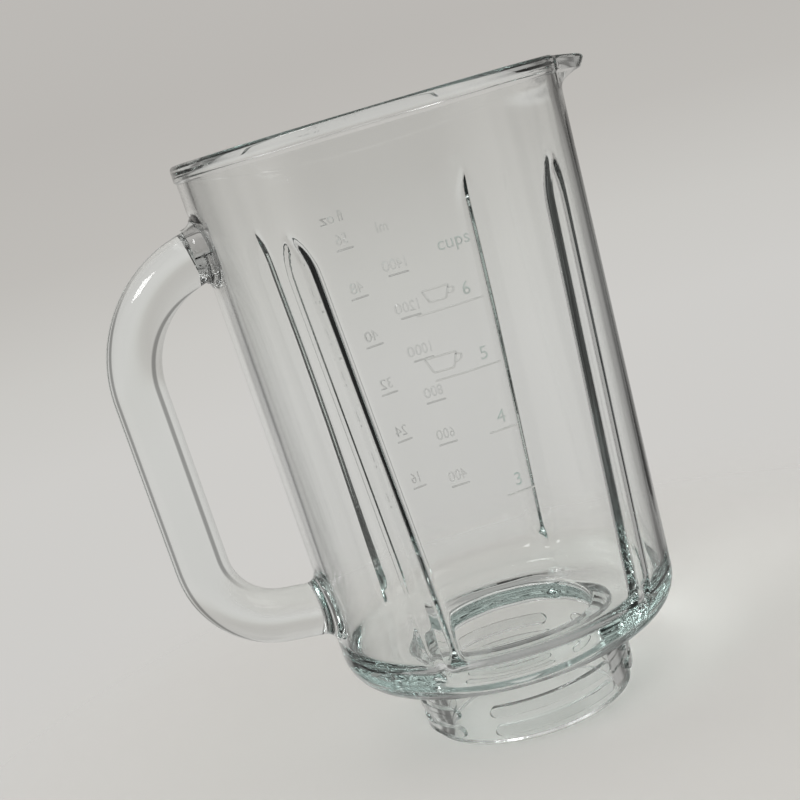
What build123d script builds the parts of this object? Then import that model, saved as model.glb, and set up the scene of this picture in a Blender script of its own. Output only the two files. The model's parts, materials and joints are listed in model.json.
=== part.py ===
from build123d import *
from math import atan2, cos, degrees, pi, radians, sin, tan
import os

# A pressed glass jar for a table blender, moulded in one piece: a tapered round body with four
# flutes, a loop handle, a pouring lip across from it and a threaded open neck as its foot.
# Millimetres. Origin on the jar's axis at the neck's foot, +Z up, +X to the lip, -X to the handle.

# Body
HEIGHT = 219.0              # neck's foot to rim
RIM_RADIUS = 68.0           # outside of the rim bead
BEAD_HEIGHT = 6.0           # rim bead, top to its lower edge
BEAD_STEP = 0.8             # how far the bead stands out from the wall
WALL = 3.7                  # glass of the side wall
SHOULDER_RADIUS = 60.7      # side wall carried down to the shoulder's underside
SHOULDER_HEIGHT = 25.6      # shoulder's underside at its outer corner, above the neck's foot
SHOULDER_ROUND = 13.0       # shoulder's outside corner
FLOOR_HEIGHT = 32.5         # inside floor at the edge of the bore
FLOOR_SLOPE = 10.0          # degrees, the floor falls to the bore for draining
FLOOR_ROUND = 8.0           # inside corner of floor and wall

# Neck
BORE_RADIUS = 30.0          # seat of the blade unit, straight through the neck
NECK_FOOT_RADIUS = 37.0     # outside of the neck at its foot
NECK_TOP_RADIUS = 38.4      # outside of the neck under the shoulder
NECK_TOP = 24.0             # height where the neck meets the shoulder
FOOT_BEVEL = 1.6            # outside edge of the foot
BORE_BEVEL = 1.0            # edges of the bore, at the foot and at the floor

# Thread on the neck: two turns, broken at the mould's four corners
THREAD_PITCH = 7.0
THREAD_FIRST = 6.5          # height of the first turn, at the middle of the front
THREAD_TURNS = 2
THREAD_WIDTH = 4.4          # bar at the neck's surface
THREAD_CREST = 2.6          # bar at its top
THREAD_DEPTH = 1.7
THREAD_GAP = 19.0           # degrees left open at each mould corner

# Flutes: a V groove outside with a rib inside, in each quarter
FLUTE_TOP_ANGLE = 47.5      # degrees from the handle-lip plane at the upper end
FLUTE_LOW_ANGLE = 53.6      # degrees from that plane at the lower end
FLUTE_DROP = 31.0           # rim down to the groove's upper tip
FLUTE_LOW = 40.0            # lower tip of the groove
FLUTE_WIDTH = 8.0
FLUTE_DEPTH = 2.3
FLUTE_TOP_BEND = 40.0       # radius of the long run-out at the top
FLUTE_LOW_BEND = 12.0       # radius of the short run-out at the foot
RIB_WIDTH = 10.0
RIB_HEIGHT = 2.4

# Handle, a solid oval bar in the plane Y = 0
HANDLE_THICK = 18.6         # across the bar in the handle's plane
HANDLE_WIDE = 20.0          # across the bar square to that plane
HANDLE_DROP = 30.0          # rim down to the bar's middle where the upper arm leaves the body
HANDLE_LOW = 58.5           # bar's middle where the lower arm leaves the body
HANDLE_REACH = 101.5        # jar's axis to the grip's middle, at the top
HANDLE_REACH_LOW = 98.0     # jar's axis to the grip's middle, at the foot
HANDLE_FALL = 9.0           # degrees, the lower arm falls towards the body
HANDLE_TOP_BEND = 39.0
HANDLE_LOW_BEND = 27.0
ROOT_ROUND = 4.2            # blend of bar and body

# Heights that are measured down from the rim
FLUTE_TOP = HEIGHT - FLUTE_DROP
HANDLE_TOP = HEIGHT - HANDLE_DROP

# Pouring lip
LIP_REACH = 81.0            # jar's axis to the lip's tip
LIP_DEPTH = 20.0            # rim down to where the lip dies into the wall
LIP_DROOP = 2.3             # fall of the lip's tip below the rim
LIP_ANGLE = 33.0            # half of the arc of rim that the lip takes
LIP_WALL = 4.2              # glass left at the lip's tip
LIP_SINK = 1.0              # root of the lip inside the glass it grows from

# The lip in section at its middle: (share of its depth from below, share of its reach)
LIP_UNDERSIDE = [(0, -0.04), (0.25, 0.05), (0.5, 0.32), (0.68, 0.7), (0.8, 0.93), (0.9, 1), (1, 1)]
LIP_CHANNEL = [(0.25, -0.08), (0.45, 0.1), (0.65, 0.45), (0.8, 0.74), (0.92, 0.92), (1, 1.04), (1.06, 1.16)]


def wall_radius(z):
    """Outside of the plain side wall at height z, a straight taper under the bead."""
    top = HEIGHT - BEAD_HEIGHT
    rise = (z - SHOULDER_HEIGHT) / (top - SHOULDER_HEIGHT)
    return SHOULDER_RADIUS + (RIM_RADIUS - BEAD_STEP - SHOULDER_RADIUS) * rise


def neck_radius(z):
    """Outside of the plain neck at height z."""
    return NECK_FOOT_RADIUS + (NECK_TOP_RADIUS - NECK_FOOT_RADIUS) * z / NECK_TOP


def turned(corners):
    """Solid of revolution from (radius, height, rounding) corners, closed along the axis."""
    spots = [(r, z) for r, z, _ in corners]
    outline = make_face(Polyline(*spots, close=True))
    for r, z, rounding in corners:
        if rounding:
            corner = outline.vertices().sort_by_distance((r, z, 0))[0]
            outline = outline.face().fillet_2d(rounding, [corner])
    return revolve(Plane.YZ * outline, Axis.Z, 360)


def outside():
    rim_glass = BEAD_STEP + WALL
    return turned([
        (0, 0, 0),
        (NECK_FOOT_RADIUS - FOOT_BEVEL, 0, 0),
        (neck_radius(FOOT_BEVEL), FOOT_BEVEL, 0),
        (NECK_TOP_RADIUS, NECK_TOP, 0),
        (SHOULDER_RADIUS, SHOULDER_HEIGHT, SHOULDER_ROUND),
        (wall_radius(HEIGHT - BEAD_HEIGHT), HEIGHT - BEAD_HEIGHT, 0),
        (RIM_RADIUS, HEIGHT - BEAD_HEIGHT + BEAD_STEP, 0),
        (RIM_RADIUS, HEIGHT, 0.5 * rim_glass),
        (0, HEIGHT, 0),
    ])


def inside():
    """The hollow: bore, sloping floor and tapered wall, opening out a little at the rim."""
    inner = [(wall_radius(z) - WALL) for z in (SHOULDER_HEIGHT, HEIGHT)]
    taper = (inner[1] - inner[0]) / (HEIGHT - SHOULDER_HEIGHT)
    fall = tan(radians(FLOOR_SLOPE))
    run = (inner[0] + taper * (FLOOR_HEIGHT - SHOULDER_HEIGHT) - BORE_RADIUS) / (1 - taper * fall)
    flare = 0.4 * (BEAD_STEP + WALL)
    return turned([
        (0, -BORE_BEVEL, 0),
        (BORE_RADIUS + 2 * BORE_BEVEL, -BORE_BEVEL, 0),
        (BORE_RADIUS, BORE_BEVEL, 0),
        (BORE_RADIUS, FLOOR_HEIGHT - BORE_BEVEL, 0),
        (BORE_RADIUS + BORE_BEVEL, FLOOR_HEIGHT + fall * BORE_BEVEL, 0),
        (BORE_RADIUS + run, FLOOR_HEIGHT + fall * run, FLOOR_ROUND),
        (inner[1] - taper * 2 * flare, HEIGHT - 2 * flare, 0),
        (inner[1] + 2 * flare, HEIGHT + 2 * flare, 0),
        (0, HEIGHT + 2 * flare, 0),
    ])


def flute_frame(side_x, side_y):
    """Plane at the groove's lower tip: local z runs up the groove, local x points out of the glass."""
    ends = []
    for angle, z in ((FLUTE_LOW_ANGLE, FLUTE_LOW), (FLUTE_TOP_ANGLE, FLUTE_TOP)):
        r = wall_radius(z)
        ends.append(Vector(side_x * r * cos(radians(angle)), side_y * r * sin(radians(angle)), z))
    mean = radians((FLUTE_LOW_ANGLE + FLUTE_TOP_ANGLE) / 2)
    out = Vector(side_x * cos(mean), side_y * sin(mean), 0)
    return Plane(origin=ends[0], x_dir=out, z_dir=ends[1] - ends[0]), (ends[1] - ends[0]).length


def run_out(depth, bend):
    """Length over which a groove of this depth rises to the surface on a bend of this radius."""
    return (2 * bend * depth - depth**2) ** 0.5


def bent_bar(section, deep, frame, start, length, bends):
    """Bar of a section sketched at the frame, straight from start and curving outwards at its ends.

    The bends, foot and top, are the radii that the section's deepest line follows; 0 is a plain end."""
    bar = extrude(frame.location * Pos(0, 0, start) * section, length, dir=frame.z_dir)
    for bend, z, way in ((bends[0], start, -1), (bends[1], start + length, 1)):
        if bend:
            axis = Axis(frame.from_local_coords((deep + bend, 0, z)), frame.y_dir * way)
            bar += revolve(frame.location * Pos(0, 0, z) * section, axis, 60)
    return bar


def groove(side_x, side_y):
    """V groove pressed into the outside, shallow at both tips."""
    frame, length = flute_frame(side_x, side_y)
    low = run_out(FLUTE_DEPTH, FLUTE_LOW_BEND)
    top = run_out(FLUTE_DEPTH, FLUTE_TOP_BEND)
    proud = FLUTE_DEPTH
    half = FLUTE_WIDTH / 2 * (FLUTE_DEPTH + proud) / FLUTE_DEPTH
    vee = make_face(Polyline((-FLUTE_DEPTH, 0), (proud, half), (proud, -half), close=True))
    return bent_bar(vee, -FLUTE_DEPTH, frame, low, length - low - top, (FLUTE_LOW_BEND, FLUTE_TOP_BEND))


def rib(side_x, side_y):
    """Rounded ridge inside the wall behind a groove, from the floor to the groove's upper tip."""
    frame, length = flute_frame(side_x, side_y)
    top = run_out(RIB_HEIGHT, FLUTE_TOP_BEND)
    crest = -WALL - RIB_HEIGHT
    back = -WALL / 2
    half = RIB_WIDTH / 2 * (back - crest) / RIB_HEIGHT
    ridge = make_face(Polyline((crest, 0), (back, half), (back, -half), close=True))
    tip = ridge.vertices().sort_by_distance((crest, 0, 0))[0]
    ridge = ridge.face().fillet_2d(RIB_WIDTH / 4, [tip])
    foot = FLOOR_HEIGHT - FLUTE_LOW
    return bent_bar(ridge, crest, frame, foot, length - foot - top, (0, FLUTE_TOP_BEND))


def handle():
    """Oval bar swept along the loop: out from the body, down the grip and back into the body.

    Its ends lie inside the hollow, which is cut last."""
    root = BORE_RADIUS
    fall = tan(radians(HANDLE_FALL))
    wall = wall_radius(HANDLE_LOW)
    low_corner = HANDLE_LOW + fall * (HANDLE_REACH_LOW - wall)
    route = Polyline(
        (-root, HANDLE_TOP),
        (-HANDLE_REACH, HANDLE_TOP),
        (-HANDLE_REACH_LOW, low_corner),
        (-root, HANDLE_LOW - fall * (wall - root)),
    ).wire()
    bends = [
        (-HANDLE_REACH, HANDLE_TOP, HANDLE_TOP_BEND),
        (-HANDLE_REACH_LOW, low_corner, HANDLE_LOW_BEND),
    ]
    for x, z, bend in bends:
        corner = route.vertices().sort_by_distance((x, z, 0))[0]
        route = route.fillet_2d(bend, [corner])
    route = Plane.XZ * route
    section = Plane.YZ.offset(-root) * Pos(0, HANDLE_TOP) * Ellipse(HANDLE_WIDE / 2, HANDLE_THICK / 2)
    return sweep(section, path=route)


def lip_outline(rise, radius, tip):
    """Plan of the lip at a share of its depth: two curves that leave a circle on its tangents.

    They meet at the tip, and the plan falls from the circle's chord towards it."""
    angle = radians(LIP_ANGLE)
    chord = radius * cos(angle)
    fall = atan2(LIP_DROOP * rise, LIP_REACH - chord)
    nose = chord + (tip - chord) / cos(fall)
    pull = 4 / 3 * tan(angle / 4) * radius
    edges = []
    for side in (1, -1):
        start = Vector(chord, side * radius * sin(angle))
        along = Vector(sin(angle), -side * cos(angle))
        curve = [start, start + along * pull, Vector(nose, side * pull), Vector(nose, 0)]
        edges.append(Bezier(*(curve if side > 0 else curve[::-1])))
    edges.append(Line(edges[1] @ 1, edges[0] @ 0))
    tilt = Rot(0, degrees(fall), 0)
    return Pos(chord, 0, lip_height(rise)) * tilt * Pos(-chord, 0, 0) * make_face(edges)


def lip_height(rise):
    """Height of the lip's plan at a share of its depth, where it leaves the wall."""
    return HEIGHT - LIP_DEPTH * (1 - rise)


def lip():
    """Outside of the pouring lip, hollowed under its edge and growing out of the wall."""
    plans = []
    for rise, share in LIP_UNDERSIDE:
        base = min(wall_radius(lip_height(rise)), RIM_RADIUS - BEAD_STEP) - LIP_SINK
        plans.append(lip_outline(rise, base, base + share * (LIP_REACH - base)))
    beak = loft(plans)
    top = beak.faces().sort_by(Axis.Z)[-1]
    front = top.edges().sort_by(Axis.X)[-2:]
    return fillet(front, 0.5 * LIP_WALL)


def lip_channel():
    """Pouring channel: the same plan set back by the lip's glass, opening out at the rim."""
    plans = []
    for rise, share in LIP_CHANNEL:
        base = wall_radius(lip_height(rise)) - WALL - LIP_SINK
        plans.append(lip_outline(rise, base, base + share * (LIP_REACH - LIP_WALL - base)))
    return loft(plans)


def thread():
    """Raised bars of the neck's thread: quarter turns tilted to the lead, round at both ends."""
    half = (90 - THREAD_GAP) / 2
    flank = (THREAD_WIDTH - THREAD_CREST) / 2 / THREAD_DEPTH
    root = THREAD_WIDTH / 2 + flank * THREAD_DEPTH
    bars = []
    for quarter in range(4 * THREAD_TURNS):
        z = THREAD_FIRST + THREAD_PITCH * (quarter - 1) / 4
        r = neck_radius(z)
        crest = make_face(Polyline(
            (r - THREAD_DEPTH, root),
            (r + THREAD_DEPTH, THREAD_CREST / 2),
            (r + THREAD_DEPTH, -THREAD_CREST / 2),
            (r - THREAD_DEPTH, -root),
            close=True,
        ))
        ring = Rot(0, 0, -45) * revolve(Plane.XZ * crest, Axis.Z, 90)
        ends = Plane.YZ.offset(r / 2) * SlotOverall(2 * r * sin(radians(half)), 2 * root)
        bar = ring & extrude(ends, r)
        lead = degrees(atan2(THREAD_PITCH, 2 * pi * r))
        bars.append(Pos(0, 0, z) * Rot(0, 0, 90 * (quarter - 2)) * Rot(lead, 0, 0) * bar)
    return bars


def glass_jar():
    body = outside()
    loop = handle()
    joined = body + loop
    jar = fillet(new_edges(body, loop, combined=joined), ROOT_ROUND)
    jar += lip()
    for bar in thread():
        jar += bar
    hollow = inside() + lip_channel()
    for side_x in (1, -1):
        for side_y in (1, -1):
            jar -= groove(side_x, side_y)
            hollow -= rib(side_x, side_y)
    return jar - hollow


os.makedirs("parts", exist_ok=True)
export_step(glass_jar(), "parts/glass_jar.step")
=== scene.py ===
import json
from functools import partial
from math import atan2, cos, degrees, pi, radians, sin, tan

import bpy
import numpy as np
from mathutils import Matrix, Vector


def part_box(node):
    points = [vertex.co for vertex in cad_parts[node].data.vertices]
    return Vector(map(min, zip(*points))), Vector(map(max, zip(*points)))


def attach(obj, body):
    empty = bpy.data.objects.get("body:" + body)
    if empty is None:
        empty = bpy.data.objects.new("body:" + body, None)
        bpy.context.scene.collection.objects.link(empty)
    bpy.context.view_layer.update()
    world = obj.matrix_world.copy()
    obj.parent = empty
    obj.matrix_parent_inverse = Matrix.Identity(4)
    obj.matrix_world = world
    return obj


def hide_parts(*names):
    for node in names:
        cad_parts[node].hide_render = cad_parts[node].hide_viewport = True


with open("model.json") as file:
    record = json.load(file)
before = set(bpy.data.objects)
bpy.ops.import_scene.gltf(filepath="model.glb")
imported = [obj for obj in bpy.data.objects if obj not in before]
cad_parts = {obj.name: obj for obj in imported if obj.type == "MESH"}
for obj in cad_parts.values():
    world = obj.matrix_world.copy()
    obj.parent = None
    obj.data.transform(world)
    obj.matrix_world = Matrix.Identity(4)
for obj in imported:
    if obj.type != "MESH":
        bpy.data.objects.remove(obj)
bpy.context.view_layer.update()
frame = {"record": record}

# A clear pressed glass blender jar in three meshes of one glass: the jar with its flutes, ribs, lip and
# handle, the bars of the thread on its neck, and the raised volume scale. Sizes are in millimetres and
# angles in degrees, in the jar's frame: origin at the neck's foot on the axis, +Z up, +X to the lip,
# -X to the handle.

MM = 0.001
_, HIGH = [Vector(corner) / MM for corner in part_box("glass_jar")]
MOUNTS = {mount["name"]: mount for mount in frame["record"]["mounts"]}

# Body
HEIGHT = HIGH.z
RIM_RADIUS = HIGH.y
BEAD_HEIGHT = 6.0
BEAD_STEP = 0.8
BEAD_ROUND = 0.35
RIM_ROUND = 1.5
RIM_INNER_RADIUS = RIM_RADIUS - 2.6
RIM_INNER_ROUND = 1.0
RIM_FLARE = 3.6
WALL = 3.7
SHOULDER_RADIUS = 60.7
SHOULDER_HEIGHT = 25.6
SHOULDER_ROUND = 13.0
FLOOR_HEIGHT = 32.5
FLOOR_SLOPE = 10.0
FLOOR_ROUND = 8.0
OUTSIDE, INSIDE = 1, -1   # side of the glass that a row of the section lies on

# Faint upright waves on the inside of the wall
MOULD_WAVES = ((7, 0.5, 0.05), (13, 1.9, 0.035), (29, 4.1, 0.02))   # per turn, start in radians, height
WAVE_LOW = (FLOOR_HEIGHT + 12.0, FLOOR_HEIGHT + 40.0)   # heights between which they grow
WAVE_TOP = (HEIGHT - 30.0, HEIGHT - 12.0)               # and die out
WAVE_SWAY, WAVE_SWAY_LENGTH = 0.9, 31.0

# Neck and its thread
BORE_RADIUS = MOUNTS["neck_bore"]["dims"]["r_mm"]
NECK_FOOT_RADIUS = 37.0
NECK_TOP_RADIUS = 38.4
NECK_TOP = 24.0
FOOT_ROUND = 1.6
BORE_FOOT_ROUND = 1.1
BORE_TOP_ROUND = 2.0
NECK_ROOT_ROUND = 1.0
THREAD_PITCH = 7.0
THREAD_FIRST = 6.5
THREAD_TURNS = 2
THREAD_WIDTH = 4.4
THREAD_CREST = 3.8
THREAD_DEPTH = 1.7
THREAD_GAP = 19.0
THREAD_BEVEL = 0.15
THREAD_SINK = 0.05

# Flutes and ribs
FLUTE_TOP_ANGLE = 47.5
FLUTE_LOW_ANGLE = 53.6
FLUTE_TOP = HEIGHT - 31.0
FLUTE_LOW = 40.0
FLUTE_WIDTH = 8.0
FLUTE_DEPTH = 2.3
FLUTE_TOP_BEND = 40.0
FLUTE_LOW_BEND = 12.0
FLUTE_SOFT = 0.3
RIB_WIDTH = 10.0
RIB_HEIGHT = 2.4
RIB_SOFT = 1.2

# Handle
HANDLE_THICK = 18.56
HANDLE_WIDE = 20.0
HANDLE_TOP = HEIGHT - 30.0
HANDLE_LOW = 58.5
HANDLE_REACH = 101.5
HANDLE_REACH_LOW = 98.0
HANDLE_FALL = 9.0
HANDLE_TOP_BEND = 39.0
HANDLE_LOW_BEND = 27.0
ROOT_ROUND = 4.2

# Pouring lip
LIP_REACH = HIGH.x - 0.05
LIP_DEPTH = 20.0
LIP_DROOP = 2.3
LIP_ANGLE = 33.0
LIP_SINK = 1.8
LIP_SOFT = 0.5
LIP_UNDERSIDE = (0.3, 0.84, 1.5)   # share of the depth where it starts and ends, and its sharpness
LIP_CHANNEL = (0.3, 1.0, 1.0)

# Raised marks
MARK_HEIGHT = 0.3
MARK_WIDTH = 0.62
MARK_SINK = 0.05
LETTER_SIZE = 6.0
LETTER_BEVEL = 0.14
STROKE_END = 0.3      # length of the rounding at each end of a line
STROKE_TIP = 0.12     # extra section inside that rounding
STROKE_BLUNT = 0.25   # share of the full section that is left at the very end
STROKE_STEP = 1.2

# Volume scale: angles from the lip, heights of the first line and the step between lines
WORDS = (("cups", -88.5, 173.6), ("ml", 82.5, 175.5), ("fl oz", 99.0, 184.0))
CUPS = range(3, 7)
CUP_FIRST, CUP_STEP = 91.8, 20.9
CUP_LINE, CUP_LONG_LINE = (-93.0, -84.4), (-103.6, -84.4)
CUP_LINES = (CUP_LINE, CUP_LINE, CUP_LONG_LINE, CUP_LONG_LINE)
CUP_NUMBER = -88.6
CUP_SIGNS = (   # angle, line that it stands on, gap above it, half width at brim and foot, height
    (-100.4, 2, 2.6, 5.0, 3.2, 4.7),
    (-96.8, 3, 3.0, 4.2, 2.6, 3.9),
)
OUNCES = range(16, 57, 8)
OUNCE_FIRST, OUNCE_STEP = 73.8, 19.5
OUNCE_LINE = (94.0, 101.0)
OUNCE_NUMBER = 98.0
MILLILITRES = range(400, 1401, 200)
MILLILITRE_FIRST, MILLILITRE_STEP = 69.3, 17.4
MILLILITRE_LINE = (77.0, 85.2)
MILLILITRE_NUMBER = 81.3
NUMBER_RISE = 3.9
MOULD_MARKS = ((-138.2, 37.3, 39.9), (-140.2, 34.2, 34.8))   # short upright lines low on the wall

# Fineness of the meshes
COLUMN_STEP = 1.25
FLUTE_COLUMNS = [0, 0.12, 0.3, 0.6, 1.0, 1.5, 2.0, 2.5, 3.0, 3.3, 3.6, 3.9, 4.3, 5.0, 6.0]
FLUTE_COLUMN_ANGLE = 50.5
FLUTE_EDGE = max(FLUTE_COLUMNS) + COLUMN_STEP
ROW_STEP = 4.5
FINE_ROWS = [(38.0, 50.0, 1.0), (50.0, 75.0, 2.0), (172.0, 204.0, 2.0), (204.0, HEIGHT, 1.0)]
SIDE_WALL = 100.0   # a straight stretch of the section that rises more than this is a side wall
ARC_STEP = 12.0
LIP_STEPS = 80
THREAD_STEPS = 40
THREAD_END_STEPS = (0, 20, 40, 58, 72, 84)
BAR_POINTS = 96
BEND_STEPS = 36
BLEND_STEPS = 14
ROOT_SIDE_MARGIN = 1.2
ROOT_END_MARGIN = 1.0
WALL_PASSES = 8
STROKE_POINTS = 7

# Camera, solved from the photo
CAMERA_AT = Vector((-111.39, -507.05, 213.03))
CAMERA_TARGET = Vector((-16.64, -5.03, 121.02))
CAMERA_ROLL = -16.55
CAMERA_LENS = 67.49
CAMERA_SENSOR = 36.0

# Lamps: place, target and size in metres, power in watts
KEY_LAMP = ((-0.9, -0.5, 1.2), (0, 0, 0.1), (0.45, 0.35), 4.5)
FILL_LAMP = ((1.0, -0.6, 1.1), (0, 0, 0.12), (1.0, 0.8), 3.0)

# Floor
FLOOR_RADIUS = 600.0
FLOOR_SIDES = 96
FLOOR_FADE = (0.1, 0.32)   # metres from the axis between which it fades out

# Room: colours from straight down to straight up, where 0.5 is the horizon
SKY = (
    (0.0, (0.66, 0.655, 0.64)),
    (0.25, (0.6, 0.59, 0.57)),
    (0.33, (0.62, 0.61, 0.59)),
    (0.42, (0.62, 0.61, 0.59)),
    (0.45, (0.59, 0.58, 0.555)),
    (0.485, (0.52, 0.505, 0.48)),
    (0.525, (0.495, 0.478, 0.455)),
    (1.0, (0.6, 0.59, 0.57)),
)
CARDS = (46.0, 119.0, 166.0, 226.0, 294.0, 346.0)   # azimuths of soft grey cards round the jar
CARD_HALF, CARD_SOFT, CARD_GREY = 4.0, 2.5, 0.45
THROUGH_FROM, THROUGH_TO, THROUGH_GAIN = -25.0, -5.0, 0.07   # heights where the glass sees it brighten
CEILING_FROM, CEILING_TO, CEILING_GAIN = 50.0, 70.0, 0.15

# What rays reflected by the glass see at eye level, by the number of their reflections. A window is the
# azimuth of its middle, its half width, its soft edge and its brightness.
ONCE, OFTEN, SEVERAL, MANY, ENDLESS = 1, 4, 6, 8, 10
CROSSED = 4   # faces that a ray passes on its way through two walls
DIM_SIDE, DARK_SIDE = 0.6, 0.02
FRONT = (262.0, 55.0, 14.0, 0.08)
RIGHT = (46.0, 8.0, 4.0, 0.4)
LEFT = (141.0, 13.0, 4.0, 0.25)
EDGE = (101.0, 10.0, 4.0, 0.95)
ACROSS = (290.0, 110.0, 8.0, 0.95)
BEYOND = (140.0, 30.0, 6.0, 0.22)
LOW_FROM, LOW_TO = -85.0, -72.0   # eye level lies between these two soft steps
HIGH_FROM, HIGH_TO = 22.0, 40.0

# Rendering
BOUNCES = 32
SCALE_SHARP, THREAD_SHARP = 40.0, 30.0   # edges with a greater angle than this are drawn sharp


def unit(vector):
    """The vector at a length of 1."""
    return vector / np.linalg.norm(vector)


def positive(value, soft):
    """max(0, value) with a rounded corner."""
    return 0.5 * (value + np.sqrt(value**2 + soft**2)) - 0.25 * soft * np.exp(-((value / soft) ** 2))


def smooth(value, low, high):
    """0 below low, 1 above high, and a soft step between."""
    t = np.clip((value - low) / (high - low), 0, 1)
    return t * t * (3 - 2 * t)


def wall_radius(z):
    """Outside of the plain side wall at height z."""
    top = HEIGHT - BEAD_HEIGHT
    rise = (z - SHOULDER_HEIGHT) / (top - SHOULDER_HEIGHT)
    return SHOULDER_RADIUS + (RIM_RADIUS - BEAD_STEP - SHOULDER_RADIUS) * rise


def neck_radius(z):
    """Outside of the plain neck at height z."""
    return NECK_FOOT_RADIUS + (NECK_TOP_RADIUS - NECK_FOOT_RADIUS) * z / NECK_TOP


def arc_points(before, corner, after, radius):
    """Points of the rounding at a corner of an outline, from one side to the other."""
    a, b = unit(before - corner), unit(after - corner)
    half = 0.5 * np.arccos(np.clip(a @ b, -1, 1))
    middle = corner + unit(a + b) * radius / sin(half)
    start, end = corner + a * radius / tan(half), corner + b * radius / tan(half)
    ahead, side = unit((start + end) / 2 - middle), unit(end - start)
    steps = max(2, int(np.ceil(degrees(pi - 2 * half) / ARC_STEP)))
    points = []
    for i in range(steps + 1):
        swing = (pi - 2 * half) * (i / steps - 0.5)
        points.append(middle + radius * (ahead * cos(swing) + side * sin(swing)))
    return points


def row_heights(low, high):
    """Heights of the rows between two ends of a wall, closer where the form changes."""
    heights = [low]
    while heights[-1] < high:
        z = heights[-1]
        step = min([fine for a, b, fine in FINE_ROWS if a <= z < b] + [ROW_STEP])
        heights.append(z + step)
    return np.array(heights[1:-1])


def between(start, end, side):
    """Rows along a straight stretch of the section."""
    if abs(end[1] - start[1]) > SIDE_WALL:
        heights = row_heights(min(start[1], end[1]), max(start[1], end[1]))
        shares = np.sort((heights - start[1]) / (end[1] - start[1]))
    else:
        shares = np.linspace(0, 1, max(2, int(np.linalg.norm(end - start) / ROW_STEP) + 2))[1:-1]
    return [(*(start + (end - start) * share), side) for share in shares]


def profile():
    """Section of the glass: (radius, height, side) rows, up the outside and down the inside."""
    top = HEIGHT - BEAD_HEIGHT
    inner_low, inner_top = wall_radius(SHOULDER_HEIGHT) - WALL, wall_radius(HEIGHT) - WALL
    taper = (inner_top - inner_low) / (HEIGHT - SHOULDER_HEIGHT)
    fall = tan(radians(FLOOR_SLOPE))
    run = (inner_low + taper * (FLOOR_HEIGHT - SHOULDER_HEIGHT) - BORE_RADIUS) / (1 - taper * fall)
    corners = [
        (BORE_RADIUS, 0, BORE_FOOT_ROUND, OUTSIDE),
        (NECK_FOOT_RADIUS, 0, FOOT_ROUND, OUTSIDE),
        (NECK_TOP_RADIUS, NECK_TOP, NECK_ROOT_ROUND, OUTSIDE),
        (SHOULDER_RADIUS, SHOULDER_HEIGHT, SHOULDER_ROUND, OUTSIDE),
        (wall_radius(top), top, BEAD_ROUND, OUTSIDE),
        (RIM_RADIUS, top + BEAD_STEP, BEAD_ROUND, OUTSIDE),
        (RIM_RADIUS, HEIGHT, RIM_ROUND, OUTSIDE),
        (RIM_INNER_RADIUS, HEIGHT, RIM_INNER_ROUND, INSIDE),
        (inner_top - taper * RIM_FLARE, HEIGHT - RIM_FLARE, RIM_FLARE, INSIDE),
        (BORE_RADIUS + run, FLOOR_HEIGHT + fall * run, FLOOR_ROUND, INSIDE),
        (BORE_RADIUS, FLOOR_HEIGHT, BORE_TOP_ROUND, INSIDE),
    ]
    spots = [np.array(corner[:2], float) for corner in corners]
    rows = []
    for i, (_, _, rounding, side) in enumerate(corners):
        arc = arc_points(spots[i - 1], spots[i], spots[(i + 1) % len(spots)], rounding)
        if rows:
            rows += between(np.array(rows[-1][:2]), arc[0], side)
        rows += [(point[0], point[1], side) for point in arc]
    rows += between(np.array(rows[-1][:2]), np.array(rows[0][:2]), INSIDE)
    return rows


def column_angles():
    """Reference angles of the grid's columns in one quarter, closest in the flute."""
    fine = [FLUTE_COLUMN_ANGLE + side * a for a in FLUTE_COLUMNS for side in (1, -1)]
    plain = np.arange(0, 90, COLUMN_STEP)
    plain = plain[abs(plain - FLUTE_COLUMN_ANGLE) > FLUTE_EDGE - 0.4 * COLUMN_STEP]
    return np.unique(np.round(np.concatenate([fine, plain]), 4))


def flute_angle(z):
    """Angle of the flute's middle from the handle-lip plane at height z."""
    rise = np.clip((z - FLUTE_LOW) / (FLUTE_TOP - FLUTE_LOW), 0, 1)
    return FLUTE_LOW_ANGLE + (FLUTE_TOP_ANGLE - FLUTE_LOW_ANGLE) * rise


def all_columns(z):
    """Angles of every column at height z, and each column's angle off its quarter's flute."""
    quarter = column_angles()
    off = quarter - FLUTE_COLUMN_ANGLE
    ends = [-FLUTE_COLUMN_ANGLE, -FLUTE_EDGE, FLUTE_EDGE, 90 - FLUTE_COLUMN_ANGLE]
    bent = quarter + np.interp(off, ends, [0, 1, 1, 0]) * (flute_angle(z) - FLUTE_COLUMN_ANGLE)
    half = np.concatenate([bent, [90.0], 180 - bent[1:][::-1]])
    half_off = np.concatenate([off, [90.0], off[1:][::-1]])
    angles = np.concatenate([half, 180 + bent[:1], 360 - half[1:][::-1]])
    return angles, np.concatenate([half_off, off[:1], half_off[1:][::-1]])


def run_depth(z, depth, low_bend):
    """Depth of a flute or rib along its length, running out on an arc at each end."""
    top_run = (2 * FLUTE_TOP_BEND * depth - depth**2) ** 0.5
    past_top = max(0.0, z - (FLUTE_TOP - top_run))
    rise = FLUTE_TOP_BEND - max(0.0, FLUTE_TOP_BEND**2 - past_top**2) ** 0.5
    if low_bend:
        low_run = (2 * low_bend * depth - depth**2) ** 0.5
        past_low = max(0.0, FLUTE_LOW + low_run - z)
        rise += low_bend - max(0.0, low_bend**2 - past_low**2) ** 0.5
    return depth - rise


def groove_depth(z, across):
    """How far the flute is pressed into the outside, across from its middle."""
    slope = FLUTE_DEPTH / (FLUTE_WIDTH / 2)
    blunt = np.sqrt(across**2 + FLUTE_SOFT**2) - FLUTE_SOFT
    return positive(run_depth(z, FLUTE_DEPTH, FLUTE_LOW_BEND) - slope * blunt, FLUTE_SOFT)


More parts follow.
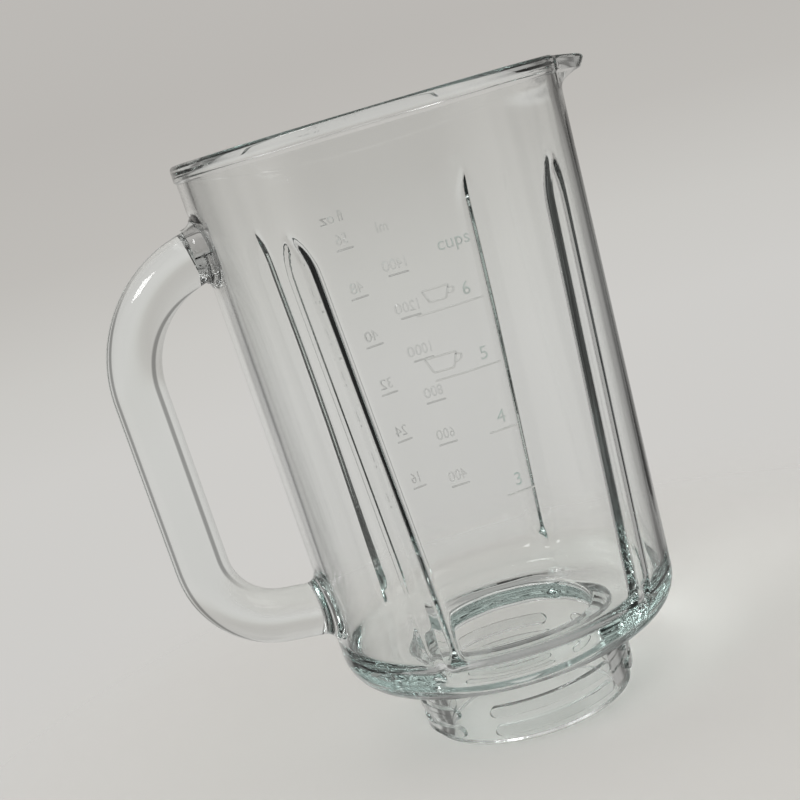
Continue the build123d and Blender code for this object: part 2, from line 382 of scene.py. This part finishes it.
def rib_height(z, across):
    """How far the rib behind a flute stands into the jar."""
    slope = RIB_HEIGHT / (RIB_WIDTH / 2)
    blunt = np.sqrt(across**2 + RIB_SOFT**2) - RIB_SOFT
    return positive(run_depth(z, RIB_HEIGHT, 0) - slope * blunt, 0.5 * RIB_SOFT)


def mould_wave(z, angles):
    """Faint upright waves that pressing leaves on the inside of the wall, dying out at rim and floor."""
    ends = smooth(z, *WAVE_LOW) * (1 - smooth(z, *WAVE_TOP))
    turn = np.radians(angles)
    sway = WAVE_SWAY * np.sin(z / WAVE_SWAY_LENGTH)
    return ends * sum(height * np.sin(count * turn + start + sway) for count, start, height in MOULD_WAVES)


def lip_plan():
    """How far the lip stands out from the rim, as (angles, distances) from its tip to one side."""
    angle, base = radians(LIP_ANGLE), RIM_RADIUS - LIP_SINK
    pull = 4 / 3 * tan(angle / 4) * base
    ends = np.array([
        (base * cos(angle), base * sin(angle)),
        (base * cos(angle) + pull * sin(angle), base * sin(angle) - pull * cos(angle)),
        (LIP_REACH, pull),
        (LIP_REACH, 0),
    ])
    t = np.linspace(0, 1, LIP_STEPS)[:, None]
    weights = ((1 - t) ** 3, 3 * t * (1 - t) ** 2, 3 * t * t * (1 - t), t**3)
    curve = sum(weight * point for weight, point in zip(weights, ends))
    reach = np.hypot(curve[:, 0], curve[:, 1]) - RIM_RADIUS
    return np.degrees(np.arctan2(curve[:, 1], curve[:, 0]))[::-1], positive(reach, LIP_SOFT)[::-1]


def add_lip(r, z, side, angles):
    """Moves one row of the wall out and down into the pouring lip."""
    rise = (z - (HEIGHT - LIP_DEPTH)) / LIP_DEPTH
    start, end, power = LIP_UNDERSIDE if side == OUTSIDE else LIP_CHANNEL
    share = smooth(np.clip((rise - start) / (end - start), 0, 1) ** power, 0, 1)
    plan_angles, plan_reach = lip_plan()
    turn = np.abs((angles + 180) % 360 - 180)
    out = r + share * np.interp(turn, plan_angles, plan_reach, right=0.0)
    chord = RIM_RADIUS * cos(radians(LIP_ANGLE))
    ahead = np.clip((out * np.cos(np.radians(angles)) - chord) / (LIP_REACH - chord), 0, 1)
    return out, z - LIP_DROOP * np.clip(rise, 0, 1) * ahead


def body_grid():
    """Points of the body's glass, one row of columns for each row of the section, and those rows."""
    rows = profile()
    grid = []
    for i, (r, z, side) in enumerate(rows):
        angles, off = all_columns(z)
        across = np.radians(off) * r
        radius, height = np.full(len(angles), r), np.full(len(angles), z)
        before, after = np.array(rows[i - 1][:2]), np.array(rows[(i + 1) % len(rows)][:2])
        upright = abs((after - before)[1]) / np.linalg.norm(after - before)
        if side == OUTSIDE and z > SHOULDER_HEIGHT:
            radius = radius - groove_depth(z, across)
        if side == INSIDE and r > BORE_RADIUS + 2 * BORE_TOP_ROUND:
            radius = radius - upright**2 * rib_height(z, across) + mould_wave(z, angles)
        if z > HEIGHT - LIP_DEPTH:
            radius, height = add_lip(radius, z, side, angles)
        turn = np.radians(angles)
        grid.append(np.stack([radius * np.cos(turn), radius * np.sin(turn), height], axis=1))
    return np.array(grid), rows


def handle_route():
    """Corners of the handle's route in the plane Y = 0, and (point, direction) stations on its bends."""
    fall = tan(radians(HANDLE_FALL))
    low_corner = HANDLE_LOW + fall * (HANDLE_REACH_LOW - wall_radius(HANDLE_LOW))
    spots = [np.array(spot, float) for spot in (
        (0, HANDLE_TOP),
        (-HANDLE_REACH, HANDLE_TOP),
        (-HANDLE_REACH_LOW, low_corner),
        (0, low_corner - fall * HANDLE_REACH_LOW),
    )]
    stations = []
    for i, bend in ((1, HANDLE_TOP_BEND), (2, HANDLE_LOW_BEND)):
        before, after = unit(spots[i] - spots[i - 1]), unit(spots[i + 1] - spots[i])
        turn = np.arccos(np.clip(before @ after, -1, 1))
        start = spots[i] - before * bend * tan(turn / 2)
        inward = np.array([-before[1], before[0]])
        inward = inward if inward @ after > 0 else -inward
        for k in range(BEND_STEPS + 1):
            a = turn * k / BEND_STEPS
            point = start + bend * (sin(a) * before + (1 - cos(a)) * inward)
            stations.append((point, cos(a) * before + sin(a) * inward))
    return spots, stations


def on_wall(points, direction):
    """Points moved along a direction in the plane Y = 0 until they lie on the outside of the wall."""
    moved = points.copy()
    slope = wall_radius(1.0) - wall_radius(0.0)
    for _ in range(WALL_PASSES):
        r = np.hypot(moved[:, 0], moved[:, 1])
        miss = r - wall_radius(moved[:, 2])
        rate = moved[:, 0] / r * direction[0] - slope * direction[1]
        moved[:, [0, 2]] -= (miss / rate)[:, None] * direction
    return moved


def bar_section(point, direction, grow=0.0):
    """Oval section of the bar, square to its direction, grown evenly by a margin."""
    t = np.linspace(0, 2 * pi, BAR_POINTS, endpoint=False)
    wide, thick = HANDLE_WIDE / 2, HANDLE_THICK / 2
    normal = np.stack([thick * np.cos(t), wide * np.sin(t)], axis=1)
    normal /= np.linalg.norm(normal, axis=1)[:, None]
    across = wide * np.cos(t) + grow * normal[:, 0]
    up = thick * np.sin(t) + grow * normal[:, 1]
    square = np.array([direction[1], -direction[0]])
    return np.stack([point[0] + up * square[0], across, point[1] + up * square[1]], axis=1)


def root_rings(spot, inward, along):
    """Rings of the rounding at one root of the handle, from the wall out to the plain bar."""
    rings = []
    for k in range(BLEND_STEPS + 1):
        a = pi / 2 * k / BLEND_STEPS
        ring = bar_section(spot - inward * SHOULDER_RADIUS, along, ROOT_ROUND * (1 - sin(a)))
        ring = on_wall(ring, inward)
        ring[:, [0, 2]] -= inward * ROOT_ROUND * (1 - cos(a))
        rings.append(ring)
    return rings


def handle_rings():
    """Rings of the handle from its upper root, round the two bends, to its lower root."""
    spots, stations = handle_route()
    top_inward, low_inward = np.array([1.0, 0.0]), unit(spots[3] - spots[2])
    top = root_rings(spots[0], top_inward, -top_inward)
    low = root_rings(spots[3], low_inward, low_inward)
    return top + [bar_section(point, direction) for point, direction in stations] + low[::-1]


def root_hole(grid, rows, ring):
    """Patch of the grid round a root's ring on the wall: first and last row, left and right column."""
    half = np.abs(ring[:, 1]).max() + ROOT_SIDE_MARGIN
    low, high = ring[:, 2].min() - ROOT_END_MARGIN, ring[:, 2].max() + ROOT_END_MARGIN
    plain_wall = [i for i, (_, z, side) in enumerate(rows)
                  if side == OUTSIDE and SHOULDER_HEIGHT + SHOULDER_ROUND < z < HEIGHT - BEAD_HEIGHT]
    first = max(i for i in plain_wall if rows[i][1] <= low)
    last = min(i for i in plain_wall if rows[i][1] >= high)
    behind = [j for j, (x, y, _) in enumerate(grid[first]) if x < 0 and abs(y) <= half]
    return first, last, min(behind) - 1, max(behind) + 1


def stitch(outer, inner, turns):
    """Triangles between two closed loops of vertex numbers, by the angle of each vertex."""
    loops = []
    for loop in (outer, inner):
        loop = sorted(loop, key=turns.get)
        loops.append(loop + [loop[0]])
    angles = [[turns[v] for v in loop[:-1]] + [turns[loop[0]] + 2 * pi] for loop in loops]
    i = j = 0
    faces = []
    while i < len(outer) or j < len(inner):
        if j == len(inner) or (i < len(outer) and angles[0][i + 1] <= angles[1][j + 1]):
            faces.append((loops[0][i], loops[0][i + 1], loops[1][j]))
            i += 1
        else:
            faces.append((loops[0][i], loops[1][j + 1], loops[1][j]))
            j += 1
    return faces


def glass_mesh():
    """The jar as one closed mesh: body grid, handle rings, and the two roots stitched together."""
    grid, rows = body_grid()
    rings = handle_rings()
    n_rows, n_columns = grid.shape[:2]
    points = np.concatenate([grid.reshape(-1, 3), *rings])
    holes = [root_hole(grid, rows, ring) for ring in (rings[0], rings[-1])]

    def number(i, j):
        return (i % n_rows) * n_columns + j % n_columns

    def ring_numbers(k):
        first = n_rows * n_columns + k * BAR_POINTS
        return list(range(first, first + BAR_POINTS))

    faces = []
    for i in range(n_rows):
        for j in range(n_columns):
            if not any(first <= i < last and left <= j < right for first, last, left, right in holes):
                faces.append((number(i, j), number(i, j + 1), number(i + 1, j + 1), number(i + 1, j)))
    for k in range(len(rings) - 1):
        one, two = ring_numbers(k), ring_numbers(k + 1)
        for m in range(BAR_POINTS):
            n = (m + 1) % BAR_POINTS
            faces.append((one[m], two[m], two[n], one[n]))
    for (first, last, left, right), k in zip(holes, (0, len(rings) - 1)):
        border = [number(i, j) for i in (first, last) for j in range(left, right + 1)]
        border += [number(i, j) for j in (left, right) for i in range(first + 1, last)]
        middle = rings[k][:, 2].mean()
        turns = {v: atan2(points[v][2] - middle, points[v][1]) for v in border + ring_numbers(k)}
        faces += stitch(border, ring_numbers(k), turns)
    return points, faces


def tube_faces(n_rings, n):
    """Faces of a closed tube of rings with n points each."""
    faces = [tuple(range(n)), tuple((n_rings - 1) * n + k for k in range(n))]
    for i in range(n_rings - 1):
        for k in range(n):
            m = (k + 1) % n
            faces.append((i * n + k, i * n + m, (i + 1) * n + m, (i + 1) * n + k))
    return faces


def joined(parts):
    """Points and faces of several meshes as one."""
    points, faces = [], []
    for part_points, part_faces in parts:
        first = len(points)
        points += list(part_points)
        faces += [tuple(first + v for v in face) for face in part_faces]
    return np.array(points), faces


def thread_section():
    """Section of a thread bar as (across, out) points: steep flanks, and bevels along a flat crest."""
    half = THREAD_WIDTH / 2
    slant = (THREAD_WIDTH - THREAD_CREST) / 2
    edge = half - slant * (THREAD_DEPTH - THREAD_BEVEL) / THREAD_DEPTH
    upper = [
        (half, -THREAD_SINK),
        (edge, THREAD_DEPTH - THREAD_BEVEL),
        (edge - THREAD_BEVEL, THREAD_DEPTH),
    ]
    return upper + [(-across, out) for across, out in upper[::-1]]


def thread_bar(quarter):
    """One bar of the thread, which climbs on the lead and is round at its ends."""
    half, radius = THREAD_WIDTH / 2, NECK_FOOT_RADIUS
    straight = radians((90 - THREAD_GAP) / 2) * radius - half
    ends = straight + half * np.sin(np.radians(THREAD_END_STEPS))
    stations = np.concatenate([-ends[::-1], np.linspace(-straight, straight, THREAD_STEPS)[1:-1], ends])
    section = thread_section()
    points = []
    for along in stations:
        past = max(0.0, abs(along) - straight) / half
        narrow = (1 - past**2) ** 0.5
        turn = along / radius + radians(90 * (quarter - 2))
        middle = THREAD_FIRST + THREAD_PITCH * ((quarter - 1) / 4 + along / radius / (2 * pi))
        for across, out in section:
            z = middle + across * narrow
            r = neck_radius(z) + out
            points.append((r * cos(turn), r * sin(turn), z))
    return np.array(points), tube_faces(len(stations), len(section))


def onto_wall(points, angle, z):
    """Flat mark points (along, up, out) wrapped round the outside of the jar at an angle and height."""
    outer = [(height, r) for r, height, side in profile()
             if side == OUTSIDE and r > SHOULDER_RADIUS - SHOULDER_ROUND / 2]
    heights, radii = zip(*outer)
    up = z + points[:, 1]
    r = np.interp(up, heights, radii)
    turn = radians(angle) + points[:, 0] / r
    r = r + np.maximum(points[:, 2], -MARK_SINK)
    return np.stack([r * np.cos(turn), r * np.sin(turn), up], axis=1)


def letters(text, angle, z):
    """Raised letters or numbers, read from outside."""
    curve = bpy.data.curves.new("letters", "FONT")
    curve.body = text
    curve.size = LETTER_SIZE
    curve.align_x = curve.align_y = "CENTER"
    curve.resolution_u = 3
    curve.extrude = MARK_HEIGHT - LETTER_BEVEL
    curve.bevel_depth = LETTER_BEVEL
    curve.bevel_resolution = 1
    curve.offset = -LETTER_BEVEL
    mesh = bpy.data.meshes.new_from_object(bpy.data.objects.new("letters", curve))
    points = np.array([tuple(v.co) for v in mesh.vertices])
    return onto_wall(points, angle, z), [tuple(f.vertices) for f in mesh.polygons]


def stroke(start, end, angle, z):
    """Raised line with a rounded back and ends, between two (along, up) points."""
    start, end = np.array(start, float), np.array(end, float)
    length = np.linalg.norm(end - start)
    ahead = (end - start) / length
    across = np.array([-ahead[1], ahead[0]])
    turns = np.linspace(0, pi, STROKE_POINTS)
    run = np.linspace(STROKE_END, length - STROKE_END, max(2, int(length / STROKE_STEP)))[1:-1]
    steps = np.concatenate([[0, STROKE_TIP, STROKE_END], run,
                            [length - STROKE_END, length - STROKE_TIP, length]])
    rows = []
    for step in steps:
        near_end = min(step, length - step, STROKE_END) / STROKE_END
        full = STROKE_BLUNT + (1 - STROKE_BLUNT) * (1 - (1 - near_end) ** 2) ** 0.5
        for turn in turns:
            flat = start + ahead * step + across * full * MARK_WIDTH / 2 * cos(turn)
            sink = MARK_SINK if turn in (turns[0], turns[-1]) else 0.0
            rows.append((*flat, full * MARK_HEIGHT * sin(turn) - sink))
    return onto_wall(np.array(rows), angle, z), tube_faces(len(steps), len(turns))


def wall_line(start, end, z):
    """Raised level line between two angles."""
    middle = (start + end) / 2
    half = radians(end - start) / 2 * wall_radius(z)
    return stroke((-half, 0), (half, 0), middle, z)


def cup_sign(angle, z, top, foot, height):
    """Small outline of a cup with a handle: brim, two slanting sides, foot and ear."""
    cup = [(-top, height), (top, height), (foot, 0), (-foot, 0), (-top, height)]
    ear = [
        (top - 0.4, height - 0.8),
        (top + 1.5, height - 1.2),
        (top + 1.0, height - 2.6),
        (foot + 0.9, 1.4),
    ]
    return [stroke(a, b, angle, z) for path in (cup, ear) for a, b in zip(path, path[1:])]


def number_column(numbers, first, step, lines, angle):
    """One column of the scale: level lines with a number above each."""
    marks = []
    for i, (number, line) in enumerate(zip(numbers, lines)):
        z = first + step * i
        marks += [wall_line(*line, z), letters(str(number), angle, z + NUMBER_RISE)]
    return marks


def volume_scale():
    """The raised scale: cups on one face, fluid ounces and millilitres on the other."""
    marks = [letters(*word) for word in WORDS]
    marks += number_column(CUPS, CUP_FIRST, CUP_STEP, CUP_LINES, CUP_NUMBER)
    for angle, line, gap, top, foot, height in CUP_SIGNS:
        marks += cup_sign(angle, CUP_FIRST + line * CUP_STEP + gap, top, foot, height)
    marks += number_column(OUNCES, OUNCE_FIRST, OUNCE_STEP, len(OUNCES) * [OUNCE_LINE], OUNCE_NUMBER)
    marks += number_column(MILLILITRES, MILLILITRE_FIRST, MILLILITRE_STEP,
                           len(MILLILITRES) * [MILLILITRE_LINE], MILLILITRE_NUMBER)
    marks += [stroke((0, low), (0, high), angle, 0) for angle, low, high in MOULD_MARKS]
    return joined(marks)


def new_object(name, points, faces):
    """A smooth mesh object from points in millimetres."""
    mesh = bpy.data.meshes.new(name)
    mesh.from_pydata([tuple(p) for p in np.asarray(points) * MM], [], [tuple(f) for f in faces])
    mesh.validate()
    obj = bpy.data.objects.new(name, mesh)
    bpy.context.scene.collection.objects.link(obj)
    bpy.context.view_layer.objects.active = obj
    obj.select_set(True)
    bpy.ops.object.mode_set(mode="EDIT")
    bpy.ops.mesh.select_all(action="SELECT")
    bpy.ops.mesh.normals_make_consistent(inside=False)
    bpy.ops.object.mode_set(mode="OBJECT")
    obj.select_set(False)
    mesh.shade_smooth()
    return obj


def fill(node, values):
    """Sets sockets of a node by their names."""
    for name, value in values.items():
        node.inputs[name].default_value = value


def math_node(tree, kind, a, b=0.0):
    """Output of a maths node whose inputs are numbers or sockets."""
    node = tree.nodes.new("ShaderNodeMath")
    node.operation = kind
    for socket, value in zip(node.inputs, (a, b)):
        if isinstance(value, (int, float)):
            socket.default_value = value
        else:
            tree.links.new(value, socket)
    return node.outputs[0]


def step_node(tree, value, low, high, first=0.0, last=1.0):
    """Output of a soft step from first to last, where a socket goes from low to high."""
    node = tree.nodes.new("ShaderNodeMapRange")
    node.interpolation_type = "SMOOTHSTEP"
    tree.links.new(value, node.inputs["Value"])
    fill(node, {"From Min": low, "From Max": high, "To Min": first, "To Max": last})
    return node.outputs[0]


def clear_glass():
    """Soda-lime glass: faint green in its depth, slightly wavy from the mould, with a light shadow."""
    material = bpy.data.materials.new("clear_glass")
    material.use_nodes = True
    nodes, links = material.node_tree.nodes, material.node_tree.links
    shader, output = nodes["Principled BSDF"], nodes["Material Output"]
    fill(shader, {"Base Color": (0.995, 1.0, 0.998, 1), "Roughness": 0.0})
    fill(shader, {"Transmission Weight": 1.0, "IOR": 1.51})

    place = nodes.new("ShaderNodeTexCoord")
    waves = nodes.new("ShaderNodeTexNoise")
    fill(waves, {"Scale": 55.0, "Detail": 1.0})
    bump = nodes.new("ShaderNodeBump")
    fill(bump, {"Strength": 0.04, "Distance": 0.0004})
    links.new(place.outputs["Object"], waves.inputs["Vector"])
    links.new(waves.outputs["Fac"], bump.inputs["Height"])
    links.new(bump.outputs["Normal"], shader.inputs["Normal"])

    depth = nodes.new("ShaderNodeVolumeAbsorption")
    fill(depth, {"Color": (0.4, 0.8, 0.73, 1), "Density": 2.0})
    links.new(depth.outputs["Volume"], output.inputs["Volume"])

    rays = nodes.new("ShaderNodeLightPath")
    shadow = nodes.new("ShaderNodeBsdfTransparent")
    fill(shadow, {"Color": (0.9, 0.915, 0.91, 1)})
    mix = nodes.new("ShaderNodeMixShader")
    links.new(rays.outputs["Is Shadow Ray"], mix.inputs[0])
    links.new(shader.outputs[0], mix.inputs[1])
    links.new(shadow.outputs[0], mix.inputs[2])
    links.new(mix.outputs[0], output.inputs["Surface"])
    return material


def add_camera():
    """Camera at the photo's view, rolled as the jar is tilted there."""
    data = bpy.data.cameras.new("camera")
    data.lens = CAMERA_LENS
    data.sensor_width = CAMERA_SENSOR
    data.sensor_fit = "HORIZONTAL"
    data.clip_start = 0.01
    camera = bpy.data.objects.new("camera", data)
    bpy.context.scene.collection.objects.link(camera)
    forward = (CAMERA_TARGET - CAMERA_AT).normalized()
    right = forward.cross(Vector((0, 0, 1))).normalized()
    up = right.cross(forward)
    turned = Matrix((right, up, -forward)).transposed() @ Matrix.Rotation(radians(CAMERA_ROLL), 3, "Z")
    camera.matrix_world = Matrix.Translation(CAMERA_AT * MM) @ turned.to_4x4()
    bpy.context.scene.camera = camera


def add_softbox(name, at, target, size, power):
    """A flat soft lamp turned to a target."""
    data = bpy.data.lights.new(name, "AREA")
    data.shape = "RECTANGLE"
    data.size, data.size_y = size
    data.energy = power
    lamp = bpy.data.objects.new(name, data)
    lamp.location = Vector(at)
    lamp.rotation_euler = (Vector(target) - Vector(at)).to_track_quat("-Z", "Y").to_euler()
    bpy.context.scene.collection.objects.link(lamp)


def sky_colour(tree, height):
    """Colour of the room by height, from -1 straight down to 1 straight up."""
    sky = tree.nodes.new("ShaderNodeValToRGB")
    half = math_node(tree, "MULTIPLY", height, 0.5)
    tree.links.new(math_node(tree, "ADD", half, 0.5), sky.inputs["Fac"])
    ramp = sky.color_ramp
    while len(ramp.elements) < len(SKY):
        ramp.elements.new(0.5)
    for element, (position, colour) in zip(ramp.elements, SKY):
        element.position = position
        element.color = (*colour, 1)
    return sky.outputs["Color"]


def room_strength(tree, azimuth, height):
    """Brightness of the room: plain to the camera and the floor, and cards and dark sides to the glass."""
    calc, step = partial(math_node, tree), partial(step_node, tree)
    rays = tree.nodes.new("ShaderNodeLightPath").outputs

    def toward(window, outside=0.0, base=0.0):
        """The window's brightness, less a base, within its azimuths, and another value outside them."""
        middle, half, soft, level = window
        near = calc("COSINE", calc("SUBTRACT", azimuth, radians(middle)))
        return step(near, cos(radians(half + soft)), cos(radians(half - soft)), outside, level - base)

    def rising(low, high, first=0.0, last=1.0):
        """A soft step between two angles above the horizon."""
        return step(height, sin(radians(low)), sin(radians(high)), first, last)

    def reflected(count):
        """1 for rays that were reflected in the glass at least so often."""
        return calc("GREATER_THAN", rays["Glossy Depth"], count - 0.5)

    cards = 1.0
    for card in CARDS:
        cards = calc("MULTIPLY", cards, toward((card, CARD_HALF, CARD_SOFT, CARD_GREY), outside=1.0))
    side = DIM_SIDE
    for window in (FRONT, RIGHT, LEFT, EDGE):
        side = calc("ADD", side, toward(window, base=DIM_SIDE))
    dimmed = calc("MULTIPLY", reflected(ONCE), calc("SUBTRACT", side, 1.0))
    darkened = calc("MULTIPLY", reflected(OFTEN), calc("SUBTRACT", DARK_SIDE, side))
    eye_level = calc("ADD", calc("ADD", 1.0, dimmed), darkened)

    crossed = calc("GREATER_THAN", rays["Transmission Depth"], CROSSED - 0.5)
    crossed = calc("MULTIPLY", crossed, calc("SUBTRACT", reflected(SEVERAL), reflected(ENDLESS)))
    across = calc("MULTIPLY", crossed, toward(ACROSS))
    beyond = calc("MULTIPLY", reflected(MANY), toward(BEYOND))
    low, high = rising(LOW_FROM, LOW_TO, 1.0, 0.0), rising(HIGH_FROM, HIGH_TO)
    pale = calc("MAXIMUM", calc("MAXIMUM", across, beyond), calc("MAXIMUM", low, high))

    gain = calc("MULTIPLY", rising(THROUGH_FROM, THROUGH_TO, 1.0, 1.0 + THROUGH_GAIN),
                rising(CEILING_FROM, CEILING_TO, 1.0, 1.0 + CEILING_GAIN))
    glass = calc("MULTIPLY", gain, calc("MULTIPLY", cards, calc("MAXIMUM", pale, eye_level)))
    plain = calc("MAXIMUM", rays["Is Camera Ray"], rays["Is Diffuse Ray"])
    return calc("ADD", plain, calc("MULTIPLY", glass, calc("SUBTRACT", 1.0, plain)))


def add_world():
    """A pale room that draws clear glass: bright straight through it, dark in its inner reflections."""
    world = bpy.data.worlds.new("studio")
    bpy.context.scene.world = world
    world.use_nodes = True
    tree = world.node_tree
    place = tree.nodes.new("ShaderNodeTexCoord")
    split = tree.nodes.new("ShaderNodeSeparateXYZ")
    tree.links.new(place.outputs["Generated"], split.inputs[0])
    x, y, z = split.outputs
    background = tree.nodes["Background"]
    tree.links.new(sky_colour(tree, z), background.inputs["Color"])
    strength = room_strength(tree, math_node(tree, "ARCTAN2", y, x), z)
    tree.links.new(strength, background.inputs["Strength"])


def floor_material():
    """Pale matt floor that fades out into the room and isn't seen by rays reflected in the glass."""
    material = bpy.data.materials.new("floor")
    material.use_nodes = True
    tree = material.node_tree
    nodes, links = tree.nodes, tree.links
    shader = nodes["Principled BSDF"]
    fill(shader, {"Base Color": (0.8, 0.79, 0.77, 1), "Roughness": 0.7})
    place = nodes.new("ShaderNodeTexCoord")
    reach = nodes.new("ShaderNodeVectorMath")
    reach.operation = "LENGTH"
    links.new(place.outputs["Object"], reach.inputs[0])
    fade = step_node(tree, reach.outputs["Value"], *FLOOR_FADE)
    rays = nodes.new("ShaderNodeLightPath")
    reflected = math_node(tree, "GREATER_THAN", rays.outputs["Glossy Depth"], ONCE - 0.5)
    clear = nodes.new("ShaderNodeBsdfTransparent")
    mix = nodes.new("ShaderNodeMixShader")
    links.new(math_node(tree, "MAXIMUM", fade, reflected), mix.inputs[0])
    links.new(shader.outputs[0], mix.inputs[1])
    links.new(clear.outputs[0], mix.inputs[2])
    links.new(mix.outputs[0], nodes["Material Output"].inputs["Surface"])
    return material


def add_floor():
    """Round floor under the jar."""
    turns = [2 * pi * i / FLOOR_SIDES for i in range(FLOOR_SIDES)]
    points = [(0, 0, 0)] + [(FLOOR_RADIUS * cos(turn), FLOOR_RADIUS * sin(turn), 0) for turn in turns]
    faces = [(0, 1 + i, 1 + (i + 1) % FLOOR_SIDES) for i in range(FLOOR_SIDES)]
    floor = new_object("floor", points, faces)
    floor.data.materials.append(floor_material())


glass = clear_glass()
jar = new_object("jar_glass", *glass_mesh())
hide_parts("glass_jar")
scale = new_object("volume_scale", *volume_scale())
scale.data.set_sharp_from_angle(angle=radians(SCALE_SHARP))
thread = new_object("thread_bars", *joined(thread_bar(quarter) for quarter in range(4 * THREAD_TURNS)))
thread.data.set_sharp_from_angle(angle=radians(THREAD_SHARP))
for piece in (jar, scale, thread):
    piece.data.materials.append(glass)
    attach(piece, "root")

add_camera()
add_world()
add_floor()
add_softbox("key", *KEY_LAMP)
add_softbox("fill", *FILL_LAMP)

scene = bpy.context.scene
scene.view_settings.view_transform = "Standard"
scene.cycles.max_bounces = BOUNCES
scene.cycles.glossy_bounces = BOUNCES
scene.cycles.transmission_bounces = BOUNCES
scene.cycles.transparent_max_bounces = BOUNCES
